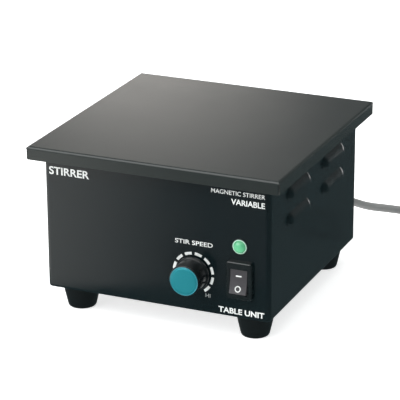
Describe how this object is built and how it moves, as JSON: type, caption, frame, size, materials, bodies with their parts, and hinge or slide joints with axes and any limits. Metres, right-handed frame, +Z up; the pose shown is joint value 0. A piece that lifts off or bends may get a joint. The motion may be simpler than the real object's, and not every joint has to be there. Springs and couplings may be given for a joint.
{
  "type": "magnetic stirrer",
  "caption": "Bench magnetic stirrer: square steel plate on a louvred case with a speed knob, pilot lamp, rocker switch, motor-driven magnets and a mains cord.",
  "frame": {"origin": "on the drive axis, at bench level under the feet", "axes": "+X to the right as seen from the front, +Y towards the back, +Z up along the drive axis"},
  "size_m": [0.3157, 0.2848, 0.132],
  "materials": {
    "case_paint": "semi-gloss near-black enamel",
    "plate_coat": "satin dark grey coating",
    "zinc_steel": "zinc plated",
    "bright_steel": "polished",
    "lamination_steel": "varnished laminations",
    "aluminium": "machined",
    "copper": "enamelled copper",
    "bronze": "sintered bronze",
    "magnet": "ferrite, matte",
    "carbon": "pressed graphite",
    "black_plastic": "moulded, satin",
    "teal_plastic": "moulded, semi-gloss",
    "green_lens": "translucent moulded lens",
    "glass": "clear",
    "foot_rubber": "moulded black rubber",
    "board_green": "solder mask",
    "nylon": "natural nylon",
    "capacitor_sleeve": "shrunk sleeve",
    "cord_grey": "soft PVC, satin",
    "lead_insulation": "PVC insulation"
  },
  "bodies": {
    "case": {"board_capacitors": "capacitor_sleeve", "board_fuse": "glass", "board_standoffs": "nylon", "boot_nut": "zinc_steel", "bottom_plate": "case_paint", "bottom_plate_screws": "zinc_steel", "bracket_grommets": "foot_rubber", "bracket_screws": "zinc_steel", "carbon_brushes": "carbon", "case_shell": "case_paint", "control_board": "board_green", "cord_boot": "cord_grey", "cord_coil": "cord_grey", "cord_tie": "black_plastic", "earth_terminal": "zinc_steel", "foot_front_left": "foot_rubber", "foot_front_right": "foot_rubber", "foot_nuts": "zinc_steel", "foot_rear_left": "foot_rubber", "foot_rear_right": "foot_rubber", "foot_screws": "zinc_steel", "heat_sink": "aluminium", "lamp_bulb": "glass", "lamp_clip": "zinc_steel", "lamp_lens": "green_lens", "motor_bracket": "zinc_steel", "motor_bushes": "bronze", "motor_can": "zinc_steel", "motor_end_bell": "black_plastic", "motor_magnets": "magnet", "plate_nuts": "zinc_steel", "plate_studs": "zinc_steel", "plug_blades": "bright_steel", "plug_body": "cord_grey", "pot_housing": "zinc_steel", "pot_nut": "zinc_steel", "power_cord": "cord_grey", "power_transistor": "black_plastic", "small_screws": "zinc_steel", "switch_housing": "black_plastic", "switch_terminals": "zinc_steel", "terminal_block": "board_green", "top_plate": "plate_coat", "transformer_core": "lamination_steel", "transformer_frame": "zinc_steel", "transformer_windings": "copper", "wiring": "lead_insulation"},
    "speed_knob": {"knob_body": "black_plastic", "knob_cap": "teal_plastic", "knob_set_screw": "bright_steel", "pot_shaft": "bright_steel"},
    "power_rocker": {"switch_rocker": "black_plastic"},
    "drive_rotor": {"rotor_shaft": "bright_steel", "armature_core": "lamination_steel", "armature_windings": "copper", "commutator": "copper", "magnet_hub": "aluminium", "hub_set_screw": "bright_steel", "yoke_bar": "zinc_steel", "drive_magnets": "magnet"}
  },
  "joints": [
    {"name": "speed_knob_turn", "type": "hinge", "parent": "case", "child": "speed_knob", "pos_m": [0.03, -0.1, 0.049], "axis": [0, 1, 0], "range_deg": [-135, 135]},
    {"name": "power_rocker_tilt", "type": "hinge", "parent": "case", "child": "power_rocker", "pos_m": [0.0671, -0.092, 0.0487], "axis": [1, 0, 0], "range_deg": [0, 20]},
    {"name": "drive_rotor_spin", "type": "hinge", "parent": "case", "child": "drive_rotor", "pos_m": [0, 0, 0.1], "axis": [0, 0, 1], "continuous": true}
  ]
}
